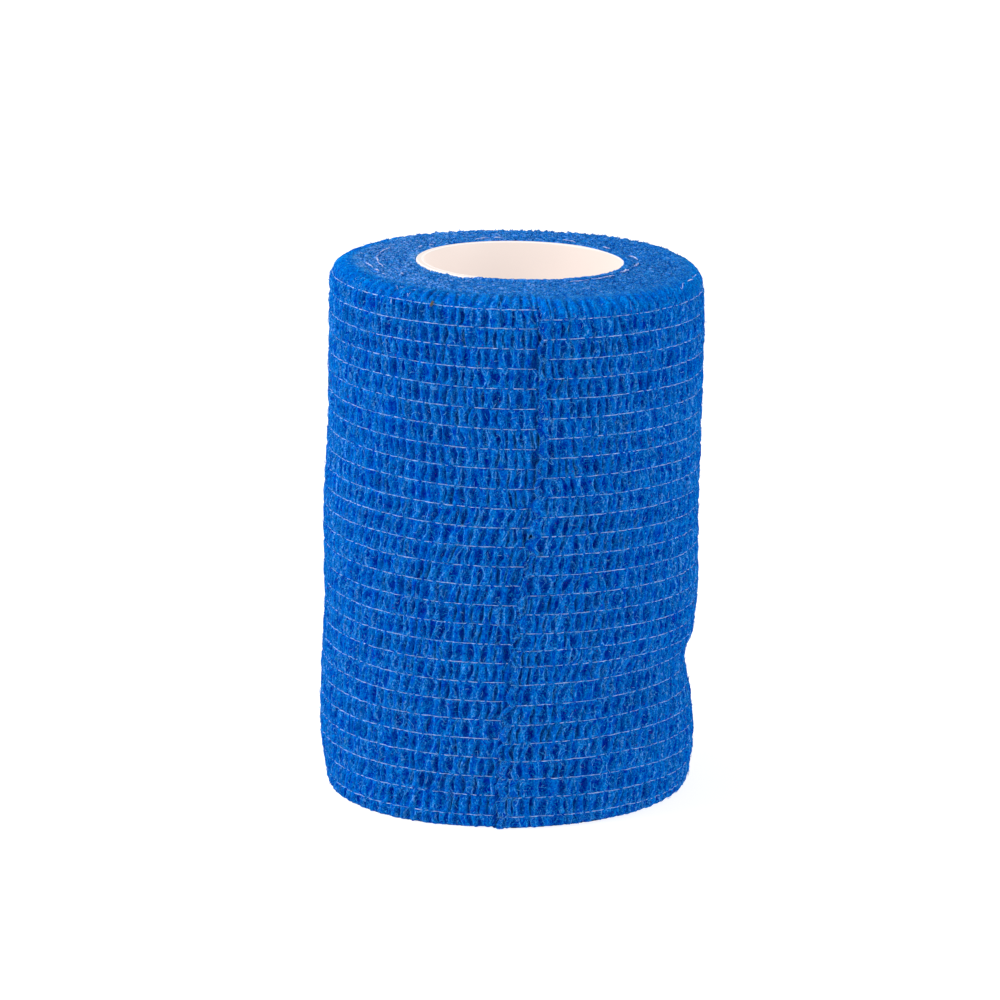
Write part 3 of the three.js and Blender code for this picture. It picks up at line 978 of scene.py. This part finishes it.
class Look:
    """A material and a short way to add nodes. Inputs are numbers, colours or sockets."""

    def __init__(self, name):
        self.material = bpy.data.materials.new(name)
        self.material.use_nodes = True
        self.nodes = self.material.node_tree.nodes
        self.links = self.material.node_tree.links
        self.surface = self.nodes["Principled BSDF"]

    def connect(self, socket, value):
        if isinstance(value, bpy.types.NodeSocket):
            self.links.new(value, socket)
        else:
            socket.default_value = value

    def add(self, kind, inputs=None, **settings):
        node = self.nodes.new(kind)
        for key, value in settings.items():
            setattr(node, key, value)
        for key, value in (inputs or {}).items():
            self.connect(node.inputs[key], value)
        return node

    def set(self, **values):
        """Sets inputs of the surface, with _ for each space in their names."""
        for key, value in values.items():
            self.connect(self.surface.inputs[key.replace("_", " ")], value)

    def spot(self):
        """The place on the piece, in metres."""
        return self.add("ShaderNodeTexCoord").outputs["Object"]

    def attribute(self, name):
        return self.add("ShaderNodeAttribute", attribute_name=name).outputs["Fac"]

    def noise(self, spot, scale, detail=2.0, distortion=0.0):
        node = self.add("ShaderNodeTexNoise", {"Vector": spot, "Scale": scale, "Detail": detail,
                                               "Distortion": distortion})
        return node.outputs["Fac"]

    def between(self, value, low, high, to_low=0.0, to_high=1.0):
        node = self.add("ShaderNodeMapRange", {"Value": value, "From Min": low, "From Max": high,
                                               "To Min": to_low, "To Max": to_high})
        return node.outputs["Result"]

    def math(self, operation, a, b):
        return self.add("ShaderNodeMath", {0: a, 1: b}, operation=operation).outputs[0]

    def times(self, a, b):
        return self.math("MULTIPLY", a, b)

    def lines(self, value, width):
        """Thin winding lines where the value is near a half."""
        apart = self.math("ABSOLUTE", self.math("SUBTRACT", value, 0.5), 0.0)
        return self.between(apart, 0.0, width, 1.0, 0.0)

    def mix(self, share, a, b):
        node = self.add("ShaderNodeMix", {0: share, 6: a, 7: b}, data_type="RGBA")
        return node.outputs[2]

    def pale(self, colour, above, gain):
        """Adds red where the green is over a level: thin cloth and lone fibres look paler."""
        parts = self.add("ShaderNodeSeparateColor", {"Color": colour}).outputs
        over = self.math("SUBTRACT", parts["Green"], above)
        red = self.math("MAXIMUM", self.times(over, gain), parts["Red"])
        whole = self.add("ShaderNodeCombineColor", {"Red": red, "Green": parts["Green"],
                                                    "Blue": parts["Blue"]})
        return whole.outputs["Color"]

    def bump(self, strength, distance, height):
        node = self.add("ShaderNodeBump", {"Strength": strength, "Distance": distance,
                                           "Height": height})
        return node.outputs["Normal"]


CLOTH_BLUE = (0.0, 0.109, 0.545, 1)
CLOTH_DEEP = (0.0, 0.028, 0.37, 1)
# The darkest blue: painted shade in the hollows, beside the lip and in the grain's dips, and dark
# grain specks
CLOTH_PAINTED_SHADE_AND_GRAIN = (0.0, 0.0045, 0.25, 1)
# Pale blue: the fibres' own colour on strands and crests, and painted highlights on the hollows'
# edges
CLOTH_PALE_AND_HIGHLIGHT = (0.0, 0.272, 0.735, 1)
CLOTH_FUZZ = (0.0, 0.34, 0.70, 1)
FOLD_PAINTED_LIGHT = (0.0, 0.25, 0.94, 1)
CLOTH_PINK = (0.16, 0.06, 0.28, 1)
CLOTH_SHEEN = (0.16, 0.80, 0.44, 1)
FELT_DARK = (0.0, 0.083, 0.455, 1)
FELT_BLUE = (0.006, 0.164, 0.63, 1)
FELT_LIGHT = (0.035, 0.352, 0.835, 1)
FIBRE_DARK = (0.0, 0.075, 0.405, 1)
FIBRE_PALE = (0.0, 0.385, 0.73, 1)
THREAD_TINTS = ((0.09, 0.28, 0.70, 1), (0.455, 0.58, 0.92, 1))
FLUFF_TINTS = ((0.17, 0.31, 0.73, 1), (0.56, 0.62, 0.86, 1))
HUSK_DARK = (0.012, 0.014, 0.012, 1)
HUSK_STRAW = (0.15, 0.13, 0.05, 1)
TUBE_DARK = (0.278, 0.220, 0.186, 1)
TUBE_LIGHT = (0.292, 0.234, 0.2, 1)
TUBE_GLOW = (1.0, 0.9, 0.86, 1)
RIM_HIGHLIGHT = (0.50, 0.52, 0.55, 1)
RIM_CREAM = (0.27, 0.235, 0.21, 1)
FLOOR_GREY = (0.35, 0.35, 0.35, 1)

# Some of the cloth's patterns are longer upright. Noise scales are for each metre
TALL = (1.0, 1.0, 0.6)
HAIR_WIDTH = 0.055


def edge_highlight(look, spot):
    """Painted highlight along the edges of the hollows, where their crests catch the light, uneven
    and broken here and there.
    """
    wobble = look.between(look.noise(spot, 1500.0), 0.3, 0.7, -0.12, 0.12)
    edge = look.math("ADD", look.attribute("edge"), wobble)
    edge = look.between(look.math("ABSOLUTE", edge, 0.0), 0.04, 0.15, 1.0, 0.0)
    broken = look.between(look.noise(spot, 950.0, 1.0), 0.36, 0.54, 0.35, 1.0)
    broken = look.times(broken, look.attribute("shine"))
    return look.times(edge, broken)


def felt_colour(look, tip, hairs):
    """The matted edges of the turns: paler where fibres stand up and darker where they lie low,
    partly their own colour and partly painted light and shade on the felt's bumps.
    """
    colour = look.mix(look.between(tip, -0.8, 0.0), FELT_DARK, FELT_BLUE)
    colour = look.mix(look.between(tip, 0.0, 1.0), colour, FELT_LIGHT)
    return look.mix(look.times(hairs, 0.5), colour, FELT_LIGHT)


def cloth_material():
    """Crinkled non-woven cloth: mottled blue, pale where fibres stand up, with painted shade in
    its hollows, painted highlights on their edges and painted light on the fold over the top.
    """
    look = Look("crinkled_cloth")
    spot = look.spot()
    tall = look.add("ShaderNodeVectorMath", {0: spot, 1: TALL}, operation="MULTIPLY").outputs[0]
    mottle = look.noise(tall, 2200.0, 2.0, 0.5)
    grain = look.noise(spot, 4300.0, 1.0)
    curls = look.lines(look.noise(tall, 1300.0, 1.0, 1.2), HAIR_WIDTH)
    hairs = look.lines(look.noise(spot, 2600.0, 1.0, 0.8), HAIR_WIDTH)
    patch = look.between(look.noise(spot, 700.0), 0.36, 0.58, 0.15, 0.95)
    specks = look.noise(spot, 4300.0, 0.0)
    lump = look.noise(tall, 1250.0, 1.0, 0.6)
    # Painted shade in the hollows and beside the lip, broken up a little by the lumps
    painted_shade = look.times(look.attribute("painted_shade"), look.between(lump, 0.34, 0.54, 0.6, 1.0))
    tip = look.attribute("tip")
    strands = look.math("MAXIMUM", curls, look.times(hairs, 0.8))
    strands = look.times(strands, patch)
    # Painted light on the fold over the top, where it faces up to the light
    folded = look.times(look.attribute("fold_light"), 0.3)
    colour = look.mix(look.between(mottle, 0.40, 0.57), CLOTH_DEEP, CLOTH_BLUE)
    # Over the mottle: paler crests and darker dips of the grain, partly painted light and shade;
    # painted shade in the hollows; pale strands; painted highlights on the hollows' edges; painted
    # light on the fold; the felt; dark grain specks where the bump dips; pale specks
    for share, over in (
            (look.between(tip, 0.2, 1.2, 0.0, 0.5), CLOTH_PALE_AND_HIGHLIGHT),
            (look.between(tip, -0.2, -1.2, 0.0, 0.6), CLOTH_PAINTED_SHADE_AND_GRAIN),
            (look.times(painted_shade, 0.98), CLOTH_PAINTED_SHADE_AND_GRAIN),
            (strands, CLOTH_PALE_AND_HIGHLIGHT),
            (edge_highlight(look, spot), CLOTH_PALE_AND_HIGHLIGHT),
            (folded, FOLD_PAINTED_LIGHT),
            (look.attribute("felt"), felt_colour(look, tip, hairs)),
            (look.between(grain, 0.36, 0.52, 0.54, 0.0), CLOTH_PAINTED_SHADE_AND_GRAIN),
            (look.between(specks, 0.74, 0.86, 0.0, 0.7), CLOTH_FUZZ)):
        colour = look.mix(share, colour, over)
    pale_from = look.math("ADD", look.times(folded, 0.15), 0.2)
    colour = look.pale(colour, pale_from, 1.3)
    colour = look.mix(look.between(specks, 0.2, 0.14, 0.0, 0.6), colour, CLOTH_PINK)
    relief = look.math("ADD", look.times(mottle, 1.2),
                         look.math("ADD", look.times(strands, 0.4), grain))
    relief = look.math("ADD", relief, look.times(lump, 1.4))
    look.set(Base_Color=colour, Roughness=0.95, Normal=look.bump(0.8, 0.00018, relief),
               Sheen_Weight=0.2, Sheen_Roughness=0.22, Sheen_Tint=CLOTH_SHEEN,
               Specular_IOR_Level=0.0)
    return look.material


def fibre_material():
    """Single fibres, from deep blue to a pale one."""
    look = Look("loose_fibre")
    tint = look.attribute("tint")
    colour = look.mix(look.between(tint, 0.3, 0.45), FIBRE_DARK, CLOTH_PALE_AND_HIGHLIGHT)
    colour = look.mix(look.between(tint, 0.7, 1.0), colour, FIBRE_PALE)
    colour = look.pale(colour, 0.26, 1.15)
    look.set(Base_Color=colour, Roughness=0.9, Specular_IOR_Level=0.05)
    return look.material


def thread_material(name, scale, distortion, colours, **surface):
    """Thread wound with finer fibres, or its fluff: two tints that come in turns."""
    look = Look(name)
    twist = look.noise(look.spot(), scale, 2.0, distortion)
    look.set(Base_Color=look.mix(look.between(twist, 0.36, 0.6), *colours), **surface)
    return look.material


def chaff_material():
    """Dry husk, olive to straw brown."""
    look = Look("dry_husk")
    colour = look.mix(look.attribute("tint"), HUSK_DARK, HUSK_STRAW)
    look.set(Base_Color=colour, Roughness=0.7)
    return look.material


def tube_material():
    """Off-white moulded plastic with faint clouds, a painted glow that evens out the light in its
    bore, and white lines on its rims painted as highlights.
    """
    look = Look("core_plastic")
    spot = look.spot()
    cloud = look.noise(spot, 90.0, 3.0)
    colour = look.mix(look.between(cloud, 0.3, 0.7), TUBE_DARK, TUBE_LIGHT)
    colour = look.mix(look.attribute("rim"), colour, RIM_CREAM)
    # Painted highlights: white lines along the rims' edges
    colour = look.mix(look.attribute("line"), colour, RIM_HIGHLIGHT)
    normal = look.bump(0.15, 0.00005, look.noise(spot, 2200.0, 2.0))
    # Painted glow: the plastic glows faintly all over, so that its bore looks evenly lit
    look.set(Base_Color=colour, Roughness=0.5, Normal=normal, Emission_Color=TUBE_GLOW,
               Emission_Strength=0.61)
    return look.material


# The setting

FLOOR_HALF = 2.5
LIGHT_SIZE = 0.5
LIGHTS_AIM = (0, 0, 0.04)

# Lights: where each stands, in metres, and its power
LIGHTS = {
    "key": ((-0.88, -0.38, 0.62), 7.1),
    "fill": ((0.92, -0.34, 0.2), 4.7),
    "top": ((-0.55, 0.08, 0.83), 4.8),
}
WORLD_LIGHT = 0.45


def make_floor():
    """A plain pale floor."""
    half = FLOOR_HALF
    mesh = bpy.data.meshes.new("floor")
    mesh.from_pydata([(-half, -half, 0), (half, -half, 0), (half, half, 0), (-half, half, 0)],
                     [], [(0, 1, 2, 3)])
    look = Look("floor")
    look.set(Base_Color=FLOOR_GREY, Roughness=0.9, Emission_Strength=0.84)
    mesh.materials.append(look.material)
    new_object("floor", mesh)


def make_camera():
    """The camera at the photograph's place, looking down a little and rolled a little."""
    data = bpy.data.cameras.new("camera")
    data.lens = LENS
    data.sensor_width = 36.0
    data.clip_start = 0.05
    data.clip_end = 20.0
    spot = np.array([AXIS[0] + CAMERA_ACROSS, AXIS[1] + CAMERA_BACK, CAMERA_HEIGHT]) * MM
    matrix = Matrix.Translation(spot)
    for angle, axis in ((-CAMERA_YAW, "Z"), (90 - CAMERA_PITCH, "X"), (CAMERA_ROLL, "Z")):
        matrix = matrix @ Matrix.Rotation(math.radians(angle), 4, axis)
    camera = new_object("camera", data)
    camera.matrix_world = matrix
    bpy.context.scene.camera = camera


def make_light(name, spot, power):
    """A soft round light at a spot, turned to the middle of the roll."""
    data = bpy.data.lights.new(name, "AREA")
    data.shape = "DISK"
    data.size = LIGHT_SIZE
    data.energy = power
    back = unit(np.array(spot) - np.array(LIGHTS_AIM))
    side = unit(np.cross([0, 0, 1], back))
    axes = Matrix(np.stack([side, np.cross(back, side), back], axis=1).tolist())
    new_object(name, data).matrix_world = Matrix.Translation(spot) @ axes.to_4x4()


def make_lights():
    """Soft studio light from all round, with a large key from the upper left."""
    world = bpy.data.worlds.new("studio")
    world.use_nodes = True
    background = world.node_tree.nodes["Background"]
    background.inputs["Color"].default_value = (1, 1, 1, 1)
    background.inputs["Strength"].default_value = WORLD_LIGHT
    bpy.context.scene.world = world
    for name, (spot, power) in LIGHTS.items():
        make_light(name, spot, power)


def main():
    cloth = cloth_material()
    wall = Wall()
    top = make_end_faces(cloth)
    make_last_turn(wall, cloth)
    make_threads(wall, thread_material("elastic_thread", 1500.0, 0.8, THREAD_TINTS,
                                       Roughness=0.6, Specular_IOR_Level=0.3))
    make_thread_bits(top, wall, thread_material("thread_fluff", 2600.0, 0.6, FLUFF_TINTS,
                                                Roughness=0.8))
    make_chaff(chaff_material())
    make_fibres(wall, top, fibre_material())
    make_tube(tube_material())
    make_floor()
    make_camera()
    make_lights()
    bpy.context.scene.view_settings.view_transform = "Standard"


main()
